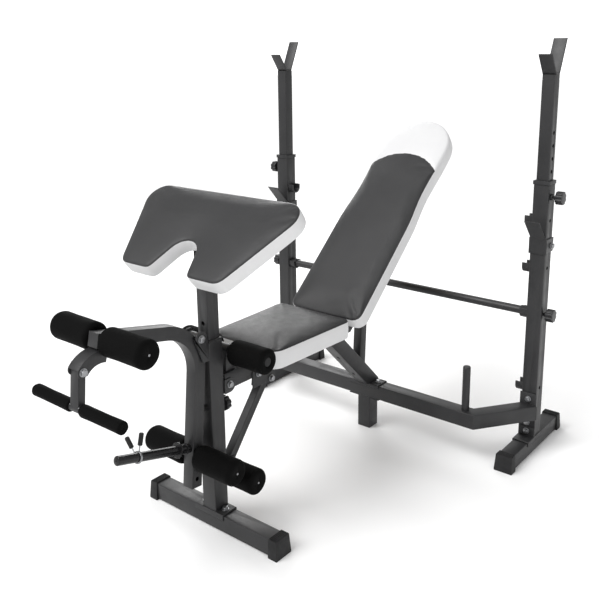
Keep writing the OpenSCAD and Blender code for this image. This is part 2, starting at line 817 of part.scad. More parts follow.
module riser() translate([upright_x, rack_reach, 0]) difference() {
    translate([0, 0, (riser_bottom + riser_top) / 2])
        square_tube(inner_tube, riser_top - riser_bottom);
    for (i = [-4 : 5]) translate([inner_tube / 2, 0, knob_z + i * hole_pitch])
        rod_x(hole_r, 3 * wall);
}

hook_path = [[-53, 57], [-14, 0], [13, 0], [58, 104]];

module hook() translate([upright_x, rack_reach, hook_height])
    side_plate(0, 44) band(hook_path, 2.5);

module left_riser() from_post() color(steel) riser();
module right_riser() from_post() color(steel) mirror([1, 0, 0]) riser();
module left_hook() from_post() color(steel) hook();
module right_hook() from_post() color(steel) mirror([1, 0, 0]) hook();

// ---------- knobs ----------

pull = 6.3;                     // travel of a pull pin

// a lobed knob's head facing +X with its neck head_at from the origin
module knob_head(head_at, head) rotate([0, 90, 0]) {
    translate([0, 0, head_at]) cylinder(r = 9.5, h = 5);
    difference() {
        translate([0, 0, head_at + 5]) cylinder(r = 21, h = head);
        for (i = [0 : 7]) rotate([0, 0, i * 45])
            translate([24, 0, head_at + 4]) cylinder(r = 5.5, h = head + 2);
    }
}

// the same with a screw that runs back pin_len from the origin
module screw_knob(pin, pin_len, head_at, head) {
    knob_head(head_at, head);
    rotate([0, 90, 0]) translate([0, 0, -pin_len]) cylinder(r = pin, h = pin_len + head_at);
}

// a pull pin: the head is pressed over the end of a straight steel pin
pin_tip = 4;                    // the tip of the drawn pin, inside the outer tube's wall
pin_grip = 12;                  // how far the pin reaches into the head

module pull_knob(head_at, head) {
    difference() {
        knob_head(head_at, head);
        translate([head_at - 1, 0, 0]) rotate([0, 90, 0])
            cylinder(r = pin_r + 0.05, h = pin_grip + 1.3);
    }
    translate([-pin_tip, 0, 0]) rotate([0, 90, 0])
        cylinder(r = pin_r, h = pin_tip + head_at + pin_grip);
}

module height_knob() translate([upright_x + half, rack_reach, knob_z])
    pull_knob(boss_len + pull, 22);
module bar_knob() translate([upright_x + half + 0.3, rack_reach, bar_z])
    screw_knob(bar_screw_r, tube + 30, 4, 24);

module left_height_knob() from_post() color(black) height_knob();
module right_height_knob() from_post() color(black) mirror([1, 0, 0]) height_knob();
module left_bar_knob() from_post() color(black) bar_knob();
module right_bar_knob() from_post() color(black) mirror([1, 0, 0]) bar_knob();
module arm_knob() from_post() color(black)
    translate([0, half, arm_knob_z]) rotate([0, 0, 90]) pull_knob(boss_len + pull - 1, 16);

// ---------- fasteners of the fixed frame ----------

module frame_bolts() from_post() color(zinc) {
    for (x = [-base_bolt_x, base_bolt_x]) translate([x, 0, post_bottom]) hex_bolt(plate_t + 6);
    translate(clamp_bolt) cross_bolt(tube + 8.6);
    translate(tab_bolt) cross_bolt(tube + 6.6);
    translate(brace_bolts[0]) cross_bolt(brace_tube + 6.6);
    translate(brace_bolts[1]) cross_bolt(tube + 6.6);
    for (x = [-saddle_bolt_x, saddle_bolt_x])
        translate([x, cross_y, rail_foot_z]) hex_bolt(saddle_t * 2 + tube + 6);
    both_sides() {
        for (z = rack_bolt_zs) translate([upright_x, rack_face - plate_t, z])
            rotate([90, 0, 0]) hex_bolt(tube + plate_t + 6);
        translate([upright_x, rack_face - saddle_t, foot_bolt_z])
            rotate([90, 0, 0]) hex_bolt(tube + saddle_t + 6);
        translate([upright_x + half + 4, catch_bolt_y, 707])
            rotate([0, 90, 0]) hex_bolt(4, 4);
    }
}

front_foot();
foot_caps();
front_post();
post_bushing();
pivot_bracket();
pivot_bolt();
post_bumper();
seat_rail();
rail_plates();
brace();
tube_saddles();
cross_tube();
storage_pegs();
mid_leg();
uprights();
bar_cradles();
upright_collars();
bar_catches();
rear_feet();
crossbar();
crossbar_sleeves();
seat_board();
seat_pad();
seat_brackets();
hinge_bracket();
thigh_bracket();
frame_bolts();
back_frame();
back_board();
back_pad();
back_pins();
strut();
lever_arm();
weight_peg();
curl_clevis();
curl_pivot_bolt();
thigh_axle_tube();
thigh_rollers();
foot_axle_tube();
foot_rollers();
ankle_axle_tube();
ankle_rollers();
upper_axle_tube();
upper_rollers();
curl_bar();
curl_grips();
spring_collar();
arm_post();
arm_bracket();
arm_board();
arm_pad();
left_riser();
right_riser();
left_hook();
right_hook();
left_height_knob();
right_height_knob();
left_bar_knob();
right_bar_knob();
arm_knob();
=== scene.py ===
"""The looks of the adjustable weight bench: upholstery, foam, coated steel, knobs and light."""

import json
import math

import bmesh
import bpy
import numpy as np
from mathutils import Matrix, Vector
from mathutils.geometry import delaunay_2d_cdt


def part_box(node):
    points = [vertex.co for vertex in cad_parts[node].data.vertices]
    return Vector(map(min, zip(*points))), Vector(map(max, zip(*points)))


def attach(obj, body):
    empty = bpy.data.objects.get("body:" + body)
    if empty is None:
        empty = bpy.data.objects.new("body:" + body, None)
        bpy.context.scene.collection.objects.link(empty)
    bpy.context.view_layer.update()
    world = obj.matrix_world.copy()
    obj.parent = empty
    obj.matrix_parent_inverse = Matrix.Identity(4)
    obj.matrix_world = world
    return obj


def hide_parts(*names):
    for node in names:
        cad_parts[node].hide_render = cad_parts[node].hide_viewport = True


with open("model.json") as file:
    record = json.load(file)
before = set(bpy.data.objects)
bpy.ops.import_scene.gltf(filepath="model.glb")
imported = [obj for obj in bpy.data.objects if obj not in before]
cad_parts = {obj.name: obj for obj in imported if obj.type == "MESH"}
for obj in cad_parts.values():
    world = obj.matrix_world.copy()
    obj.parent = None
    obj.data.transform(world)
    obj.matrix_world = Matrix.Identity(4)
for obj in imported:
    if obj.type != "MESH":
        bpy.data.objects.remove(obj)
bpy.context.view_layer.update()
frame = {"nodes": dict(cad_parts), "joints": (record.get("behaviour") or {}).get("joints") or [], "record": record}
NODES = frame["nodes"]
BODY_OF = {node: body for body, nodes in frame["record"]["behaviour"]["bodies"].items() for node in nodes}
SLOT_OF = {part["node"]: part["material_slot"] for part in frame["record"]["subparts"]}
JOINTS = {joint["name"]: joint for joint in frame["joints"]}
MM = 0.001
WELD = 0.02 * MM  # corners of a CAD mesh closer than this are one corner


# ---------- node helpers for materials ----------


def new_material(name, colour, roughness, metallic=0.0):
    """A principled material, its node tree and its shader."""
    material = bpy.data.materials.new(name)
    material.use_nodes = True
    shader = material.node_tree.nodes["Principled BSDF"]
    shader.inputs["Base Color"].default_value = (*colour, 1)
    shader.inputs["Roughness"].default_value = roughness
    shader.inputs["Metallic"].default_value = metallic
    return material, material.node_tree, shader


def object_coordinates(tree, scale=(1, 1, 1)):
    """Object coordinates in metres, stretched by scale."""
    source = tree.nodes.new("ShaderNodeTexCoord")
    mapping = tree.nodes.new("ShaderNodeMapping")
    mapping.inputs["Scale"].default_value = scale
    tree.links.new(source.outputs["Object"], mapping.inputs["Vector"])
    return mapping.outputs["Vector"]


def noise(tree, vector, scale, detail=3.0, roughness=0.55):
    """Soft clouds, from 0 to 1."""
    node = tree.nodes.new("ShaderNodeTexNoise")
    node.inputs["Scale"].default_value = scale
    node.inputs["Detail"].default_value = detail
    node.inputs["Roughness"].default_value = roughness
    tree.links.new(vector, node.inputs["Vector"])
    return node.outputs["Fac"]


def cells(tree, vector, scale, feature="F1", randomness=1.0):
    """The distance to scattered cell centres, or to the cells' edges."""
    node = tree.nodes.new("ShaderNodeTexVoronoi")
    node.feature = feature
    node.inputs["Scale"].default_value = scale
    node.inputs["Randomness"].default_value = randomness
    tree.links.new(vector, node.inputs["Vector"])
    return node.outputs["Distance"]


def ramp(tree, factor, stops):
    """A colour ramp. stops are (position, (r, g, b)) or (position, grey)."""
    node = tree.nodes.new("ShaderNodeValToRGB")
    elements = node.color_ramp.elements
    while len(elements) < len(stops):
        elements.new(0.5)
    for element, (position, colour) in zip(elements, stops):
        element.position = position
        rgb = (colour,) * 3 if isinstance(colour, (int, float)) else colour
        element.color = (*rgb, 1)
    tree.links.new(factor, node.inputs["Fac"])
    return node.outputs["Color"]


def mixed(tree, factor, a, b):
    """Mixes two colours. factor, a and b are sockets or plain values."""
    node = tree.nodes.new("ShaderNodeMix")
    node.data_type = "RGBA"
    for socket, value in ((node.inputs[0], factor), (node.inputs[6], a), (node.inputs[7], b)):
        if isinstance(value, bpy.types.NodeSocket):
            tree.links.new(value, socket)
        else:
            socket.default_value = (*value, 1) if isinstance(value, tuple) else value
    return node.outputs[2]


def math_node(tree, operation, a, b):
    """One sum or product. a and b are sockets or plain values."""
    node = tree.nodes.new("ShaderNodeMath")
    node.operation = operation
    for socket, value in ((node.inputs[0], a), (node.inputs[1], b)):
        if isinstance(value, bpy.types.NodeSocket):
            tree.links.new(value, socket)
        else:
            socket.default_value = value
    return node.outputs[0]


def bump(tree, shader, heights):
    """Chains bumps. heights is a list of (height socket, distance in metres, strength)."""
    normal = None
    for height, distance, strength in heights:
        node = tree.nodes.new("ShaderNodeBump")
        node.inputs["Distance"].default_value = distance
        node.inputs["Strength"].default_value = strength
        tree.links.new(height, node.inputs["Height"])
        if normal is not None:
            tree.links.new(normal, node.inputs["Normal"])
        normal = node.outputs["Normal"]
    tree.links.new(normal, shader.inputs["Normal"])


# ---------- materials ----------


def coated_steel():
    """Charcoal powder coat with a fine light speckle and an orange-peel skin."""
    material, tree, shader = new_material("coated_steel", (0.06, 0.06, 0.063), 0.42)
    where = object_coordinates(tree)
    speckle = ramp(tree, cells(tree, where, 620), [(0.0, 1.0), (0.16, 0.0)])
    dark, light, fleck = (0.017, 0.017, 0.018), (0.026, 0.026, 0.027), (0.1, 0.1, 0.103)
    patches = ramp(tree, noise(tree, where, 7, 4), [(0.35, dark), (0.7, light)])
    colour = mixed(tree, math_node(tree, "MULTIPLY", speckle, 0.55), patches, fleck)
    tree.links.new(colour, shader.inputs["Base Color"])
    gloss = ramp(tree, noise(tree, where, 22, 4), [(0.3, 0.36), (0.75, 0.5)])
    tree.links.new(gloss, shader.inputs["Roughness"])
    bump(tree, shader, [(noise(tree, where, 520, 3), 0.0004, 0.35), (speckle, 0.0002, 0.25)])
    shader.inputs["Specular IOR Level"].default_value = 0.38
    return material


def vinyl(name, dark, light, roughness):
    """Upholstery vinyl with a pebbled leather grain, slightly cloudy, and painted shade in the grain's creases."""
    material, tree, shader = new_material(name, light, roughness)
    where = object_coordinates(tree)
    grain, scatter = 760, 0.9
    pebbles = cells(tree, where, grain, "F1", scatter)
    creases = ramp(tree, cells(tree, where, grain, "DISTANCE_TO_EDGE", scatter), [(0.0, 0.0), (0.12, 1.0)])
    clouds = ramp(tree, noise(tree, where, 5, 5), [(0.3, dark), (0.72, light)])
    # painted shade: the creases of the grain are coloured darker, as if shadowed, on top of their bump
    shaded_creases = mixed(tree, 0.35, clouds, dark)
    colour = mixed(tree, math_node(tree, "MULTIPLY", creases, 0.5), shaded_creases, clouds)
    tree.links.new(colour, shader.inputs["Base Color"])
    gloss = ramp(tree, noise(tree, where, 40, 4), [(0.3, roughness - 0.05), (0.75, roughness + 0.07)])
    tree.links.new(gloss, shader.inputs["Roughness"])
    bump(tree, shader, [
        (noise(tree, where, 26, 3), 0.0012, 0.10),
        (pebbles, 0.00025, 0.35),
        (creases, 0.00018, 0.4),
    ])
    shader.inputs["Specular IOR Level"].default_value = 0.3
    return material


def foam_rubber():
    """Soft closed-cell foam: black, open-pored and matt, with painted shade in its pores."""
    material, tree, shader = new_material("foam_rubber", (0.006, 0.006, 0.006), 0.8)
    where = object_coordinates(tree)
    pores = cells(tree, where, 520)
    # painted shade: each pore is coloured darkest at its centre, where the bump sinks it into a pit
    colour = ramp(tree, pores, [(0.0, (0.0008, 0.0008, 0.0008)), (0.5, (0.002, 0.002, 0.002))])
    wear = ramp(tree, noise(tree, where, 12, 4), [(0.4, 0.0), (0.8, 0.35)])
    tree.links.new(mixed(tree, wear, colour, (0.0035, 0.0035, 0.0035)), shader.inputs["Base Color"])
    bump(tree, shader, [(noise(tree, where, 55, 3), 0.002, 0.12), (pores, 0.0006, 0.45)])
    shader.inputs["Specular IOR Level"].default_value = 0.08
    return material


def moulded(name, colour, roughness, grain):
    """Moulded plastic or rubber with a spark-eroded grain."""
    material, tree, shader = new_material(name, colour, roughness)
    where = object_coordinates(tree)
    worn = tuple(min(1, c * 1.7 + 0.004) for c in colour)
    tint = ramp(tree, noise(tree, where, 30, 5), [(0.35, colour), (0.8, worn)])
    tree.links.new(tint, shader.inputs["Base Color"])
    gloss = ramp(tree, noise(tree, where, 90, 3), [(0.3, roughness - 0.06), (0.7, roughness + 0.08)])
    tree.links.new(gloss, shader.inputs["Roughness"])
    bump(tree, shader, [(noise(tree, where, grain, 2), 0.0003, 0.3)])
    shader.inputs["Specular IOR Level"].default_value = 0.3
    return material


def plated(name, colour, roughness, streak):
    """Bright plated steel with fine drawn streaks along X and a few smudges."""
    material, tree, shader = new_material(name, colour, roughness, 1.0)
    lines = noise(tree, object_coordinates(tree, (streak, 1, 1)), 900, 2)
    where = object_coordinates(tree)
    smudge = noise(tree, where, 45, 4)
    tint = ramp(tree, smudge, [(0.3, tuple(c * 0.8 for c in colour)), (0.7, colour)])
    tree.links.new(tint, shader.inputs["Base Color"])
    gloss = ramp(tree, smudge, [(0.3, roughness - 0.06), (0.8, roughness + 0.1)])
    tree.links.new(gloss, shader.inputs["Roughness"])
    bump(tree, shader, [(lines, 0.0002, 0.15)])
    return material


def plywood():
    """Pale plywood with long grain along the board and fine pores."""
    material, tree, shader = new_material("plywood", (0.5, 0.36, 0.22), 0.65)
    where = object_coordinates(tree, (1, 0.12, 0.3))
    rings = noise(tree, where, 60, 6, 0.65)
    brown, tan, cream = (0.36, 0.24, 0.13), (0.52, 0.37, 0.22), (0.6, 0.45, 0.29)
    colour = ramp(tree, rings, [(0.25, brown), (0.55, tan), (0.8, cream)])
    tree.links.new(colour, shader.inputs["Base Color"])
    bump(tree, shader, [(rings, 0.0006, 0.4)])
    return material


def backing_cloth():
    """The black woven cloth stapled under a cushion."""
    material, tree, shader = new_material("backing_cloth", (0.015, 0.015, 0.016), 0.9)
    where = object_coordinates(tree)
    threads = []
    for direction in ("X", "Y"):
        wave = tree.nodes.new("ShaderNodeTexWave")
        wave.bands_direction = direction
        wave.inputs["Scale"].default_value = 260
        wave.inputs["Distortion"].default_value = 0.4
        tree.links.new(where, wave.inputs["Vector"])
        threads.append(wave.outputs["Fac"])
    weave = math_node(tree, "MULTIPLY", *threads)
    tree.links.new(ramp(tree, weave, [(0.0, 0.006), (1.0, 0.03)]), shader.inputs["Base Color"])
    bump(tree, shader, [(weave, 0.0005, 0.5)])
    return material


STEEL = coated_steel()
DARK_VINYL = vinyl("dark_vinyl", (0.022, 0.022, 0.023), (0.034, 0.034, 0.035), 0.42)
WHITE_VINYL = vinyl("white_vinyl", (0.64, 0.64, 0.645), (0.7, 0.7, 0.705), 0.4)
FOAM = foam_rubber()
RUBBER = moulded("cap_rubber", (0.009, 0.009, 0.0095), 0.6, 500)
COLLAR = moulded("collar_plastic", (0.02, 0.02, 0.021), 0.45, 700)
KNOB = moulded("knob_plastic", (0.014, 0.014, 0.015), 0.34, 900)
ZINC = plated("zinc", (0.34, 0.345, 0.355), 0.36, 1)
CHROME = plated("bright_steel", (0.6, 0.61, 0.62), 0.26, 0.05)
GLOSS = moulded("gloss_black", (0.008, 0.008, 0.0085), 0.2, 40)
PLYWOOD = plywood()
BACKING = backing_cloth()
BY_SLOT = {
    "frame_coat": STEEL, "zinc": ZINC, "bright_steel": CHROME, "cap_rubber": RUBBER, "foam": FOAM,
    "collar_plastic": COLLAR, "knob_plastic": KNOB, "plywood": PLYWOOD, "vinyl": DARK_VINYL,
}


def paint(obj, *materials):
    """Gives a piece these materials; each face keeps its material's number."""
    mesh = obj.data
    indices = [polygon.material_index for polygon in mesh.polygons]
    mesh.materials.clear()
    for material in materials:
        mesh.materials.append(material)
    for polygon, index in zip(mesh.polygons, indices):
        polygon.material_index = min(index, len(materials) - 1)


# ---------- mesh helpers ----------


def add_object(name, data):
    """A new object in the scene, with this mesh, light or camera."""
    obj = bpy.data.objects.new(name, data)
    bpy.context.scene.collection.objects.link(obj)
    return obj


def object_from(name, vertices, faces):
    """A smooth-shaded object made of vertices and faces."""
    mesh = bpy.data.meshes.new(name)
    mesh.from_pydata([tuple(v) for v in vertices], [], faces)
    mesh.validate()
    mesh.update()
    mesh.shade_smooth()
    return add_object(name, mesh)


def bake_modifiers(obj):
    """Replaces the object's mesh with what its modifiers make of it."""
    graph = bpy.context.evaluated_depsgraph_get()
    made = bpy.data.meshes.new_from_object(obj.evaluated_get(graph))
    obj.modifiers.clear()
    old = obj.data
    obj.data = made
    bpy.data.meshes.remove(old)


def settle(obj, node):
    """Puts a finished piece in the place of a CAD node."""
    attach(obj, BODY_OF[node])
    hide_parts(node)
    return obj


def softened(node, material, wide=2.2, narrow=0.5, long_edge=45):
    """A copy of a hard node, its edges over long_edge rounded by wide and its others by narrow, all in mm."""
    copy = add_object(node + "_piece", NODES[node].data.copy())
    flat, corner, crease = math.radians(0.6), math.radians(40), math.radians(32)
    work = bmesh.new()
    work.from_mesh(copy.data)
    bmesh.ops.remove_doubles(work, verts=work.verts, dist=WELD)
    bmesh.ops.dissolve_limit(
        work, angle_limit=flat, verts=work.verts, edges=work.edges, use_dissolve_boundaries=False
    )
    bmesh.ops.recalc_face_normals(work, faces=work.faces)
    weights = work.edges.layers.float.new("bevel_weight_edge")
    for edge in work.edges:
        if len(edge.link_faces) == 2 and edge.calc_face_angle(0) >= corner and edge.is_convex:
            edge[weights] = 1.0 if edge.calc_length() > long_edge * MM else narrow / wide
    work.to_mesh(copy.data)
    work.free()
    bevel = copy.modifiers.new("edges", "BEVEL")
    bevel.limit_method = "WEIGHT"
    bevel.width = wide * MM
    bevel.segments = 3
    bevel.use_clamp_overlap = False
    bake_modifiers(copy)
    copy.data.shade_smooth()
    copy.data.set_sharp_from_angle(angle=crease)
    paint(copy, material)
    return settle(copy, node)


def lathe(profile, segments=64):
    """Vertices and faces of a closed profile of (x, radius) turned about X."""
    vertices, faces = [], []
    for i in range(segments):
        a = 2 * math.pi * i / segments
        vertices += [(x, r * math.cos(a), r * math.sin(a)) for x, r in profile]
    n = len(profile)
    for i in range(segments):
        j = (i + 1) % segments
        for k in range(n):
            m = (k + 1) % n
            faces.append((i * n + k, j * n + k, j * n + m, i * n + m))
    return vertices, faces


def arc(cx, cy, radius, start, end, steps):
    """Points on an arc round (cx, cy), angles in degrees from +x towards +y."""
    points = []
    for i in range(steps + 1):
        a = math.radians(start + (end - start) * i / steps)
        points.append((cx + radius * math.cos(a), cy + radius * math.sin(a)))
    return points


# ---------- upholstery ----------


class Pad:
    """The flat frame of a CAD cushion: x across, u along its slope, n out of its face."""

    def __init__(self, node):
        work = bmesh.new()
        work.from_mesh(NODES[node].data)
        bmesh.ops.remove_doubles(work, verts=work.verts, dist=WELD)
        downward = [f for f in work.faces if f.normal.z < -0.3]
        under = max(downward, key=lambda f: self.area_facing(work, f.normal))
        self.n = Vector((0, -under.normal.y, -under.normal.z)).normalized()
        self.u = self.n.cross(Vector((1, 0, 0))).normalized()
        heights = [v.co.dot(self.n) for v in work.verts]
        bottom = min(heights)
        self.thick = max(heights) - bottom
        self.base = self.n * bottom
        self.loop = self.outline(work, bottom)
        work.free()

    @staticmethod
    def area_facing(work, normal):
        """The area of all the faces that look the same way."""
        return sum(f.calc_area() for f in work.faces if f.normal.dot(normal) > 0.9995)

    def outline(self, work, bottom):
        """The outline of the cushion's underside as (x, u) points, anticlockwise."""
        low = []
        for face in work.faces:
            at_bottom = abs(face.calc_center_median().dot(self.n) - bottom) < 0.1 * MM
            if at_bottom and face.normal.dot(self.n) < -0.99:
                low.append(face)
        members = set(low)
        follow = {}
        for face in low:
            for loop in face.loops:
                if sum(f in members for f in loop.edge.link_faces) == 1:
                    follow.setdefault(loop.vert, []).append(loop.link_loop_next.vert)
        best, best_area = None, 0
        while follow:
            chain, at = [], next(iter(follow))
            while at in follow:
                chain.append(at)
                onward = follow[at]
                step = onward.pop()
                if not onward:
                    del follow[at]
                at = step
            points = np.array([(v.co.x, v.co.dot(self.u)) for v in chain])
            x, y = points[:, 0], points[:, 1]
            signed = np.sum(x * np.roll(y, -1) - np.roll(x, -1) * y) / 2
            if abs(signed) > abs(best_area):
                best, best_area = points, signed
        return best if best_area > 0 else best[::-1]

    def world(self, x, u, h):
        """The point x across, u up the slope and h above the cushion's underside."""
        return Vector((x, 0, 0)) + self.u * u + self.base + self.n * h


def resampled(loop, step):
    """Points at an even spacing near step along a closed outline."""
    closed = np.vstack([loop, loop[:1]])
    lengths = np.r_[0, np.cumsum(np.linalg.norm(np.diff(closed, axis=0), axis=1))]
    count = int(round(lengths[-1] / step))
    along = np.arange(count) * lengths[-1] / count
    return np.c_[np.interp(along, lengths, closed[:, 0]), np.interp(along, lengths, closed[:, 1])]


def smoothed(loop, passes):
    """The outline with its corners eased."""
    for _ in range(passes):
        loop = 0.5 * loop + 0.25 * (np.roll(loop, 1, axis=0) + np.roll(loop, -1, axis=0))
    return loop


def inward(loop, distance):
    """The outline moved inwards along its own normals."""
    ahead = np.roll(loop, -1, axis=0) - np.roll(loop, 1, axis=0)
    normals = np.c_[-ahead[:, 1], ahead[:, 0]] / np.linalg.norm(ahead, axis=1)[:, None]
    return loop + normals * distance


def depth_inside(points, loop):
    """How far each point lies inside the outline (negative outside)."""
    a, b = loop, np.roll(loop, -1, axis=0)
    ab = b - a
    t = np.clip(((points[:, None] - a) * ab).sum(2) / (ab**2).sum(1), 0, 1)
    gap = np.linalg.norm(points[:, None] - (a + t[..., None] * ab), axis=2).min(1)
    crossings = ((a[:, 1] > points[:, None, 1]) != (b[:, 1] > points[:, None, 1])) & (
        points[:, None, 0] < ab[:, 0] * (points[:, None, 1] - a[:, 1]) / (ab[:, 1] + 1e-12) + a[:, 0]
    )
    return np.where(crossings.sum(1) % 2 == 1, gap, -gap)


def distance_to(points, seam):
    """How far each point lies from the nearest point of a seam."""
    return np.linalg.norm(points[:, None] - np.array(seam)[None], axis=2).min(1)


EDGE_STEPS = (2.2 * MM, 5 * MM, 9 * MM, 14 * MM)  # close rings of the face, this far inside its edge
SPACING = 9 * MM  # between the points of the face further in


def face_mesh(loop, seams):
    """A triangulated face inside loop, with close rings near its edge and edges along the seams."""
    points, edges = [], []
    for ring in [loop] + [inward(loop, step) for step in EDGE_STEPS]:
        first = len(points)
        points += [tuple(p) for p in ring]
        edges += [(first + i, first + (i + 1) % len(ring)) for i in range(len(ring))]
    for seam in seams:
        first = len(points)
        points += [tuple(p) for p in seam]
        edges += [(first + i, first + i + 1) for i in range(len(seam) - 1)]
    lo, hi = loop.min(0), loop.max(0)
    xs = np.arange(math.floor(lo[0] / SPACING), math.ceil(hi[0] / SPACING) + 1) * SPACING
    ys = np.arange(math.floor(lo[1] / SPACING), math.ceil(hi[1] / SPACING) + 1) * SPACING
    grid = np.array([(x, y) for x in xs for y in ys])
    grid = grid[depth_inside(grid, loop) > EDGE_STEPS[-1] + 0.6 * SPACING]
    for seam in seams:
        grid = grid[distance_to(grid, seam) > 0.55 * SPACING]
    points += [tuple(p) for p in grid]
    made = delaunay_2d_cdt([Vector(p) for p in points], edges, [], 1, 1e-6)
    return np.array([tuple(p) for p in made[0]]), [tuple(f) for f in made[2]]


PRESSURE = 2.0  # of the stuffing
SWELL = 4 * MM  # no point of the cover moves further than this
FRAMES = 20


def simulate_cloth(obj, pinned):
    """Blows the closed skin up like a stuffed cover; pinned vertices stay where they are."""
    before = np.array([v.co for v in obj.data.vertices])
    group = obj.vertex_groups.new(name="pinned")
    for index in pinned:
        group.add([int(index)], 1.0, "REPLACE")
    cloth = obj.modifiers.new("stuffing", "CLOTH")
    settings = cloth.settings
    settings.quality = 6
    settings.mass = 0.25
    settings.tension_stiffness = 25
    settings.compression_stiffness = 25
    settings.shear_stiffness = 12
    settings.bending_stiffness = 1.5
    settings.use_pressure = True
    settings.uniform_pressure_force = PRESSURE
    settings.vertex_group_mass = "pinned"
    settings.effector_weights.gravity = 0
    cloth.collision_settings.use_collision = False
    scene = bpy.context.scene
    for index in range(1, FRAMES + 1):
        scene.frame_set(index)
    graph = bpy.context.evaluated_depsgraph_get()
    after = np.array([v.co for v in obj.evaluated_get(graph).data.vertices])
    scene.frame_set(1)
    obj.modifiers.clear()
    obj.vertex_groups.clear()
    moved = after - before
    size = np.linalg.norm(moved, axis=1, keepdims=True)
    moved *= np.minimum(1, SWELL / np.maximum(size, 1e-9))
    obj.data.vertices.foreach_set("co", (before + moved).astype(np.float32).ravel())
    obj.data.update()


OUTLINE_STEP = 6 * MM
PULL_IN = 1.5 * MM  # the seam runs this far inside the widest line of the side band
SHOULDER = 14 * MM  # width of the rounding along the edge of the face
CROWN_FROM, CROWN_SPREAD = 10 * MM, 45 * MM  # where the crown starts to rise, and how slowly
GROOVE_DEEP, GROOVE_WIDE = 2.2 * MM, 4.5 * MM  # the dip along a sewn seam
BOARD_INSET = 4 * MM  # the board's edge lies this far inside the cushion's outline
BOARD_GAP = 0.6 * MM  # from the board's edge to the cover round it
SKIN_UNDER = 1.1 * MM  # the cover's lowest point, below the board
SHORT_LIP = 0.5 * MM  # a lip that ends at the board's edge
COVER_ROWS = 10  # rows of the cover before the backing starts
PANEL, BAND, UNDERSIDE = 0, 1, 2  # numbers of a cushion's three materials


def face_heights(points, edge, seams, seam_height, roll, crown):
    """How high each point of the sewn face is: rolled over at the edge, crowned, and grooved at the seams."""
    depth = np.maximum(depth_inside(points, edge), 0)
    turn = np.clip(depth / SHOULDER, 0, 1)
    rise = 1 - np.exp(-np.maximum(depth - CROWN_FROM, 0) / CROWN_SPREAD)
    height = seam_height + roll * np.sqrt(1 - (1 - turn) ** 2) + crown * rise
    for seam in seams:
        height -= GROOVE_DEEP * np.exp(-((distance_to(points, seam) / GROOVE_WIDE) ** 2))
    return height


def cover_rows(seam_height, under, wall, turn_in):
    """The cover below its seam, as rows of (distance outwards from the seam, height).

    It goes down the side, turns in under the board by turn_in, and comes back up round the board's edge at
    wall. Where turn_in is short, it ends at that edge instead.
    """
    is_short = turn_in < 2 * MM

    def row(full, short):
        """One row: where it lies under a full lip, and where it lies at a short one."""
        return np.where(is_short, short[0], full[0]), np.where(is_short, short[1], full[1])

    lip_end = PULL_IN - 3 * MM - turn_in
    return [
        (0.5 * MM, seam_height - 0.5 * MM),
        (PULL_IN - 1.2 * MM, seam_height - 2.4 * MM),
        (PULL_IN - 0.2 * MM, seam_height - 7 * MM),
        (PULL_IN + 0.2 * MM, seam_height * 0.55),
        (PULL_IN, seam_height * 0.25),
        row((PULL_IN - 0.3 * MM, 0.0), (PULL_IN - 1.5 * MM, 0.0)),
        row((PULL_IN - 0.4 * MM, under * 0.6), (wall + 0.8 * MM, under * 0.6)),
        row((PULL_IN - 1.4 * MM, under - 0.2 * MM), (wall + 0.6 * MM, under + 0.3 * MM)),
        row((PULL_IN - 2.4 * MM - 0.15 * turn_in, under - SKIN_UNDER), (wall + 0.4 * MM, under + 0.2 * MM)),
        row((lip_end, under - SKIN_UNDER), (wall + 0.3 * MM, under + 0.15 * MM)),
        row((lip_end, under - 0.25 * MM), (wall + 0.2 * MM, under + 0.1 * MM)),
        row((wall, under - 0.25 * MM), (wall, under + 0.1 * MM)),
        (wall, -0.2 * MM),
        (PULL_IN - 9 * MM, 0.0),
    ]


def sewn_cover(pad, outline, board_thick, crown, roll, lip, seams, is_white, wall):
    """The closed cover of a cushion as a bmesh: its face, its side band and what is under it."""
    seam_height = pad.thick - roll
    edge = inward(outline, PULL_IN)
    points, triangles = face_mesh(edge, seams)
    heights = face_heights(points, edge, seams, seam_height, roll, crown)
    work = bmesh.new()
    verts = [work.verts.new(pad.world(p[0], p[1], h)) for p, h in zip(points, heights)]
    for triangle in triangles:
        face = work.faces.new([verts[i] for i in triangle])
        centre = points[list(triangle)].mean(0)
        face.material_index = BAND if is_white(centre[0], centre[1]) else PANEL
    bmesh.ops.join_triangles(
        work, faces=work.faces, cmp_materials=True,
        angle_face_threshold=math.radians(25), angle_shape_threshold=math.radians(35),
    )
    previous = rim_of(work)
    ring = np.array([(v.co.x, v.co.dot(pad.u)) for v in previous])
    turn_in = np.array([lip(x, u) for x, u in ring])
    for number, (outward, h) in enumerate(cover_rows(seam_height, -board_thick, wall, turn_in)):
        moved = inward(ring, -np.broadcast_to(outward, len(ring))[:, None])
        levels = np.broadcast_to(h, len(ring))
        row = [work.verts.new(pad.world(p[0], p[1], level)) for p, level in zip(moved, levels)]
        for i in range(len(row)):
            j = (i + 1) % len(row)
            face = work.faces.new((previous[i], row[i], row[j], previous[j]))
            face.material_index = BAND if number < COVER_ROWS else UNDERSIDE
        previous = row
    floor = work.faces.new(list(reversed(previous)))
    floor.material_index = UNDERSIDE
    bmesh.ops.triangulate(work, faces=[floor])
    bmesh.ops.recalc_face_normals(work, faces=work.faces)
    return work


def held_points(obj, pad, roll, seams, is_tight):
    """The vertices that stuffing does not move: near the board, on a seam, and where the cover is tight."""
    height = np.array([v.co.dot(pad.n) for v in obj.data.vertices]) - pad.base.dot(pad.n)
    flat = np.array([(v.co.x, v.co.dot(pad.u)) for v in obj.data.vertices])
    seam_height = pad.thick - roll
    held = (height < 5 * MM) | (np.abs(height - seam_height) < 0.3 * MM)
    for seam in seams:
        held |= (distance_to(flat, seam) < 1.5 * MM) & (height > seam_height)
    held |= np.array([is_tight(x, u) for x, u in flat])
    return np.nonzero(held)[0]


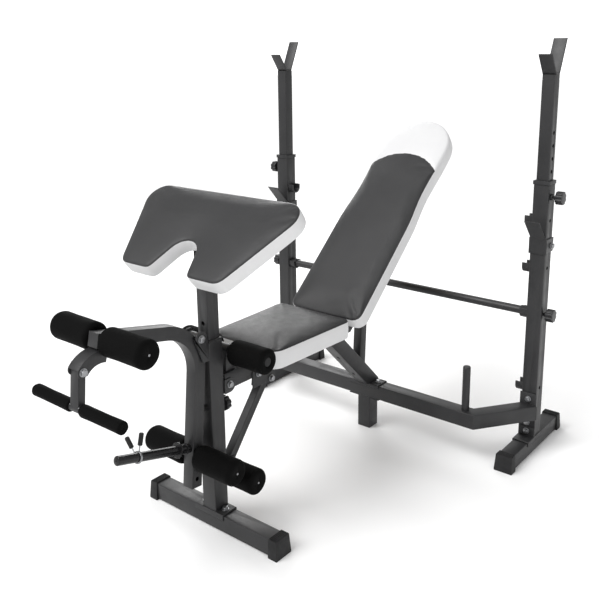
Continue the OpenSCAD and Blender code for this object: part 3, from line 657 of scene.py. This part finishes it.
def cushion(
    node, board, name, crown, roll, lip,
    seams=(), is_white=lambda x, u: False, drawn_in=0.0, is_tight=lambda x, u: False,
):
    """An upholstered pad: a sewn face, a side band over foam and board, and a lip stapled under the board.

    lip(x, u) is how far the cover turns in under the board at that point of the outline, and is_white(x, u)
    is true on the white part of the face. drawn_in keeps the whole cover that far inside the outline, and
    is_tight(x, u) is true where it does not bulge.
    """
    pad = Pad(node)
    outline = inward(smoothed(resampled(pad.loop, OUTLINE_STEP), 2), drawn_in)
    wall = PULL_IN + drawn_in - BOARD_INSET + BOARD_GAP
    work = sewn_cover(pad, outline, Pad(board).thick, crown, roll, lip, seams, is_white, wall)
    mesh = bpy.data.meshes.new(name)
    work.to_mesh(mesh)
    work.free()
    obj = add_object(name, mesh)
    paint(obj, DARK_VINYL, WHITE_VINYL, BACKING)
    simulate_cloth(obj, held_points(obj, pad, roll, seams, is_tight))
    finer = obj.modifiers.new("finer", "SUBSURF")
    finer.levels = 1
    finer.render_levels = 1
    bake_modifiers(obj)
    obj.data.shade_smooth()
    settle(obj, node)


def rim_of(work):
    """The open edge of a face mesh as an anticlockwise chain of vertices."""
    follow = {}
    for edge in work.edges:
        if len(edge.link_faces) == 1:
            loop = edge.link_loops[0]
            follow[loop.vert] = loop.link_loop_next.vert
    start = next(iter(follow))
    chain, at = [start], follow[start]
    while at is not start:
        chain.append(at)
        at = follow[at]
    return chain


# ---------- round pieces ----------


def outwards(obj):
    """Turns every face of a closed piece outwards."""
    work = bmesh.new()
    work.from_mesh(obj.data)
    bmesh.ops.recalc_face_normals(work, faces=work.faces)
    work.to_mesh(obj.data)
    work.free()


def turned(name, profile, centre, axis, segments=48):
    """A closed profile of (along, radius), in mm, turned about an axis through centre."""
    vertices, faces = lathe([(along * MM, radius * MM) for along, radius in profile], segments)
    turn = Vector((1, 0, 0)).rotation_difference(Vector(axis)).to_matrix()
    obj = object_from(name, [turn @ Vector(v) + Vector(centre) for v in vertices], faces)
    outwards(obj)
    obj.data.set_sharp_from_angle(angle=math.radians(35))
    return obj


def wire(name, path, radius, sides=12):
    """A round wire with closed, rounded ends along a list of points."""
    path = [Vector(p) for p in path]
    last = len(path) - 1
    rings, vertices, faces = [], [], []
    side = Vector((0.3, 0.5, 0.81))
    for i, at in enumerate(path):
        ahead = (path[min(i + 1, last)] - path[max(i - 1, 0)]).normalized()
        side = (side - ahead * side.dot(ahead)).normalized()
        other = ahead.cross(side)
        before = [(-0.7, 0.6)] if i == 0 else []
        after = [(0.7, 0.6)] if i == last else []
        for along, wide in before + [(0, 1.0)] + after:
            rings.append(len(vertices))
            for k in range(sides):
                a = 2 * math.pi * k / sides
                spoke = side * math.cos(a) + other * math.sin(a)
                vertices.append(at + ahead * along * radius + spoke * wide * radius)
    for a, b in zip(rings, rings[1:]):
        faces += [(a + k, a + (k + 1) % sides, b + (k + 1) % sides, b + k) for k in range(sides)]
    faces.append(tuple(reversed(range(rings[0], rings[0] + sides))))
    faces.append(tuple(range(rings[-1], rings[-1] + sides)))
    obj = object_from(name, vertices, faces)
    outwards(obj)
    return obj


def joined(name, parts):
    """Several meshes as one object with all their materials."""
    work = bmesh.new()
    materials = []
    for part in parts:
        offset = len(materials)
        materials += list(part.data.materials)
        first = len(work.faces)
        work.from_mesh(part.data)
        work.faces.ensure_lookup_table()
        for face in work.faces[first:]:
            face.material_index += offset
        bpy.data.objects.remove(part)
    mesh = bpy.data.meshes.new(name)
    work.to_mesh(mesh)
    work.free()
    obj = add_object(name, mesh)
    for material in materials:
        mesh.materials.append(material)
    return obj


def peg_axis():
    """The weight peg's tip and the direction it points in."""
    along = Vector(JOINTS["collar_slide"]["axis"]).normalized()
    if along.y > 0:
        along = -along
    corners = [v.co for v in NODES["weight_peg"].data.vertices]
    far = max(c.dot(along) for c in corners)
    tip = [c for c in corners if far - c.dot(along) < 0.1 * MM]
    ys = [c.y for c in tip]
    zs = [c.z for c in tip]
    return Vector((0, (min(ys) + max(ys)) / 2, (min(zs) + max(zs)) / 2)), along


def weight_peg():
    """The gloss black plate peg with its two flanges and a plastic plug in its end."""
    tip, along = peg_axis()
    length, r = 246, 12.45
    small_flange = [(12, r), (12.4, 14.6), (13, 15), (17.4, 15), (18, 14.4), (18.2, r)]
    large_flange = [(41, r), (41, 20.2), (41.8, 21), (45.2, 21), (46, 20.2), (46, r)]
    plug_joint = [(length - 14, r), (length - 13.6, r - 0.5), (length - 13, r - 0.5), (length - 12.6, r)]
    plug_end = arc(length - 3, r - 3, 3, 90, 0, 6) + [(length + 0.6, r * 0.5), (length + 0.8, 2)]
    profile = [(0, 2), (0, r)] + small_flange + large_flange + plug_joint + plug_end
    peg = turned("weight_peg_piece", profile, tip - along * length * MM, along)
    paint(peg, GLOSS)
    settle(peg, "weight_peg")


def collar_grip():
    """The profile of a ribbed rubber grip on one arm of the spring collar, in mm."""
    r, ribs, pitch = 6.2, 7, 3.4
    profile = [(0, 1.5), (0, r - 1.4)] + arc(1.4, r - 1.4, 1.4, 180, 90, 4)
    for i in range(ribs):
        at = 4 + i * pitch
        profile += [(at - 0.5, r), (at, r - 0.5), (at + 0.5, r)]
    return profile + arc(29, r - 3, 3, 90, 0, 6) + [(32.2, 0.3)]


def spring_collar():
    """A coil of wire round the peg, with two arms that end in rubber grips."""
    tip, along = peg_axis()
    corners = [v.co for v in NODES["spring_collar"].data.vertices]
    on_coil = [c for c in corners if 12 * MM < (c - tip - along * (c - tip).dot(along)).length < 17 * MM]
    places = [(c - tip).dot(along) for c in on_coil]
    centre = tip + along * (min(places) + max(places)) / 2
    across = Vector((1, 0, 0))
    up = along.cross(across)
    if up.z < 0:
        up = -up

    def around(angle, radius, shift):
        """A point round the peg, at an angle in degrees from its upper side, with radius and shift in mm."""
        a = math.radians(angle)
        return centre + (up * math.cos(a) - across * math.sin(a)) * radius * MM + along * shift * MM

    coil_radius, wire_radius, half_pitch, steps = 14.7, 1.75, 2.5, 96
    first, last, turns = 3, 54, 2
    arm = (17, 22, 30, 40)
    grip_from = 30
    path = [around(first, radius, -half_pitch) for radius in reversed(arm)]
    for i in range(steps + 1):
        t = i / steps
        path.append(around(first + (last - first - turns * 360) * t, coil_radius, half_pitch * (2 * t - 1)))
    path += [around(last, radius, half_pitch) for radius in arm]
    coil = wire("coil", path, wire_radius * MM)
    paint(coil, ZINC)
    parts = [coil]
    for angle, shift in ((first, -half_pitch), (last, half_pitch)):
        out = (around(angle, 1, 0) - centre).normalized()
        grip = turned("grip", collar_grip(), around(angle, grip_from, shift), out, 24)
        paint(grip, RUBBER)
        parts.append(grip)
    settle(joined("spring_collar_piece", parts), "spring_collar")


def curl_bar():
    """The coated stem of the curl handle and the bare bar it carries."""
    piece = softened("curl_bar", STEEL)
    paint(piece, STEEL, CHROME)
    lo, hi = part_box("curl_grips")
    centre_y, centre_z = (lo.y + hi.y) / 2, (lo.z + hi.z) / 2
    bar_radius, stem_half = 11.3 * MM, 15 * MM
    for polygon in piece.data.polygons:
        at = polygon.center
        is_bar = math.hypot(at.y - centre_y, at.z - centre_z) < bar_radius and abs(at.x) > stem_half
        polygon.material_index = 1 if is_bar else 0


# ---------- foam rollers ----------


def foam_sleeve(name, centre, near, far, side, radius, bore, rounding, recess, blind):
    """A foam sleeve on an axle along X, from near to far, rounded over at both ends.

    A blind sleeve is closed at its far end, and any other is open.
    """
    inner = bore + 0.4 * MM
    dished = inner + 0.3 * (radius - inner)
    profile = [(near + recess, inner), (near + recess * 0.5, dished)]
    profile += arc(near + rounding, radius - rounding, rounding, 180, 90, 7)
    body_steps = 12
    for i in range(1, body_steps):
        t = i / body_steps
        waist = 0.6 * MM * math.sin(math.pi * t)
        profile.append((near + rounding + (far - near - 2 * rounding) * t, radius - waist))
    profile += arc(far - rounding, radius - rounding, rounding, 90, 0, 7)
    if blind:
        profile += [(far, 1 * MM), (far - 2.7 * MM, 1 * MM), (far - 2.7 * MM, inner)]
    else:
        profile += [(far - recess * 0.5, dished), (far - recess, inner)]
    vertices, faces = lathe(profile, 72)
    shaped = []
    for x, y, z in vertices:
        a = math.atan2(z, y)
        r = math.hypot(y, z)
        wave = 0.35 * math.sin(3 * a + 41 * x) + 0.25 * math.sin(5 * a - 67 * x + 1.3)
        r += wave * MM * min(1, (r - inner) / (radius - inner))
        shaped.append((side * x + centre[0], r * math.cos(a) + centre[1], r * math.sin(a) + centre[2]))
    if side > 0:
        faces = [tuple(reversed(f)) for f in faces]
    return object_from(name, shaped, faces)


def roller_pair(node, rounding=12 * MM, recess=2.5 * MM, bore=12.5 * MM, blind=True, plugged=True):
    """The two foam sleeves of one roller node.

    Blind sleeves close over the end of the axle, and plugged ones have a small bright plug there.
    """
    lo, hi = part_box(node)
    near = min(v.co.x for v in NODES[node].data.vertices if v.co.x > 0)
    radius = (hi.z - lo.z) / 2 - 0.6 * MM
    centre = Vector((0, (lo.y + hi.y) / 2, (lo.z + hi.z) / 2))
    for word, side in (("left", 1), ("right", -1)):
        name = f"{node}_{word}"
        sleeve = foam_sleeve(name, centre, near, hi.x, side, radius, bore, rounding, recess, blind)
        paint(sleeve, FOAM)
        settle(sleeve, node)
        if plugged:
            dome = arc(0, 2.2, 0.9, 90, 0, 5) + [(1.2, 0.3), (0, 0.3)]
            at = centre + Vector((side * (hi.x - 0.5 * MM), 0, 0))
            plug = turned(f"{name}_plug", dome, at, (side, 0, 0), 20)
            paint(plug, ZINC)
            settle(plug, node)


# ---------- build ----------

for node, obj in NODES.items():
    paint(obj, BY_SLOT[SLOT_OF[node]])

COATED_NODES = [
    "front_foot", "front_post", "pivot_bracket", "seat_rail", "rail_plates", "brace", "tube_saddles",
    "cross_tube", "mid_leg", "uprights", "bar_catches", "rear_feet", "seat_brackets", "back_frame",
    "strut", "lever_arm", "arm_post", "left_riser", "right_riser", "left_hook", "right_hook",
    "thigh_bracket", "bar_cradles", "curl_clevis",
]
for node in COATED_NODES:
    softened(node, STEEL)
softened("hinge_bracket", STEEL, wide=1.2)
curl_bar()
weight_peg()
spring_collar()
for node in ("frame_bolts", "back_pins", "pivot_bolt", "curl_pivot_bolt"):
    softened(node, ZINC, wide=0.7, narrow=0.35, long_edge=6)
for node in ("left_height_knob", "right_height_knob", "left_bar_knob", "right_bar_knob", "arm_knob"):
    softened(node, KNOB, wide=1.3, narrow=0.6, long_edge=8)
for node in ("foot_caps", "upright_collars", "post_bushing", "post_bumper"):
    softened(node, BY_SLOT[SLOT_OF[node]], wide=0.6, narrow=0.5, long_edge=12)

cushion("seat_pad", "seat_board", "seat_cushion", crown=8 * MM, roll=7 * MM, lip=lambda x, u: 13 * MM)


def head_seam(pad):
    """The arched seam between the dark panel and the white head, as (x, u) points."""
    top = pad.loop[:, 1].max()
    foot, rise, half = top - 235 * MM, 62 * MM, 137 * MM
    radius = (half**2 + rise**2) / (2 * rise)
    centre = foot + rise - radius
    reach = half - 4 * MM
    return [(x, centre + math.sqrt(radius**2 - x**2)) for x in np.linspace(-reach, reach, 45)]


back = Pad("back_pad")
back_foot = back.loop[:, 1].min()
arch = head_seam(back)
arch_x = [p[0] for p in arch]
arch_u = [p[1] for p in arch]
# at the foot of the back, which passes close over the hinge bracket, the cover ends at the board and is tight
cushion(
    "back_pad", "back_board", "back_cushion", crown=8 * MM, roll=8 * MM,
    lip=lambda x, u: SHORT_LIP if u < back_foot + 30 * MM and abs(x) < 125 * MM else 13 * MM,
    seams=[arch], is_white=lambda x, u: u > np.interp(x, arch_x, arch_u),
    drawn_in=2 * MM, is_tight=lambda x, u: u < back_foot + 8 * MM and abs(x) < 50 * MM,
)
# the cover ends at the board round the notch of the arm pad, and along the middle of its other long edge
cushion(
    "arm_pad", "arm_board", "arm_cushion", crown=5 * MM, roll=6 * MM,
    lip=lambda x, u: SHORT_LIP if abs(x) < 80 * MM else 12 * MM,
)

for node in ("foot_rollers", "ankle_rollers", "upper_rollers"):
    roller_pair(node)
roller_pair("thigh_rollers", blind=False, plugged=False)
roller_pair("curl_grips", rounding=5 * MM, recess=1 * MM, bore=11 * MM, plugged=False)
for node in ("thigh_axle_tube", "foot_axle_tube", "ankle_axle_tube", "upper_axle_tube"):
    softened(node, RUBBER, wide=1.2, narrow=1.2)


# ---------- floor, light and camera ----------


def stage_floor():
    """A wide, flat, pale floor."""
    bpy.ops.mesh.primitive_plane_add(size=60)
    floor = bpy.context.object
    floor.name = "floor"
    material, tree, shader = new_material("floor", (0.96, 0.96, 0.96), 1.0)
    shade = ramp(tree, noise(tree, object_coordinates(tree), 1.5, 3), [(0.3, 0.955), (0.7, 0.965)])
    tree.links.new(shade, shader.inputs["Base Color"])
    shader.inputs["Specular IOR Level"].default_value = 0.0
    paint(floor, material)


def area_light(name, place, target, size, power):
    """A round soft light at place, aimed at target."""
    light = bpy.data.lights.new(name, "AREA")
    light.shape = "DISK"
    light.size = size
    light.energy = power
    obj = add_object(name, light)
    obj.location = place
    obj.rotation_euler = (Vector(target) - Vector(place)).to_track_quat("-Z", "Y").to_euler()


def studio():
    """White surroundings that light softly, a broad sun from the front, and two weak lights."""
    world = bpy.data.worlds.new("studio")
    bpy.context.scene.world = world
    world.use_nodes = True
    tree = world.node_tree
    background = tree.nodes["Background"]
    background.inputs["Color"].default_value = (1, 1, 1, 1)
    ray = tree.nodes.new("ShaderNodeLightPath")
    seen = math_node(tree, "MULTIPLY", ray.outputs["Is Camera Ray"], 1.0)
    mirrored = math_node(tree, "MULTIPLY", ray.outputs["Is Glossy Ray"], 0.12)
    extra = math_node(tree, "MAXIMUM", seen, mirrored)
    tree.links.new(math_node(tree, "ADD", extra, 0.5), background.inputs["Strength"])
    sun = bpy.data.lights.new("sun", "SUN")
    sun.energy = 2.7
    sun.angle = math.radians(40)
    obj = add_object("sun", sun)
    obj.rotation_euler = Vector((0.28, 0.62, -0.8)).to_track_quat("-Z", "Y").to_euler()
    area_light("rear", (-2.8, 2.8, 2.3), (0, 0, 0.5), 2.4, 60)
    area_light("side", (2.8, -1.4, 1.2), (0, 0, 0.6), 1.8, 16)


def camera():
    """A three-quarter view from the front, a little above the pads."""
    data = bpy.data.cameras.new("camera")
    obj = add_object("camera", data)
    data.sensor_width = 36
    data.lens = 46.55
    data.shift_x = -0.0257
    data.shift_y = -0.1139
    yaw, pitch, roll = math.radians(38.372), math.radians(13.222), math.radians(-0.433)
    obj.matrix_world = (
        Matrix.Translation((1.4536, -1.7323, 1.3193))
        @ Matrix.Rotation(yaw, 4, "Z")
        @ Matrix.Rotation(math.pi / 2 - pitch, 4, "X")
        @ Matrix.Rotation(roll, 4, "Z")
    )
    bpy.context.scene.camera = obj


stage_floor()
studio()
camera()
bpy.context.scene.view_settings.view_transform = "Standard"
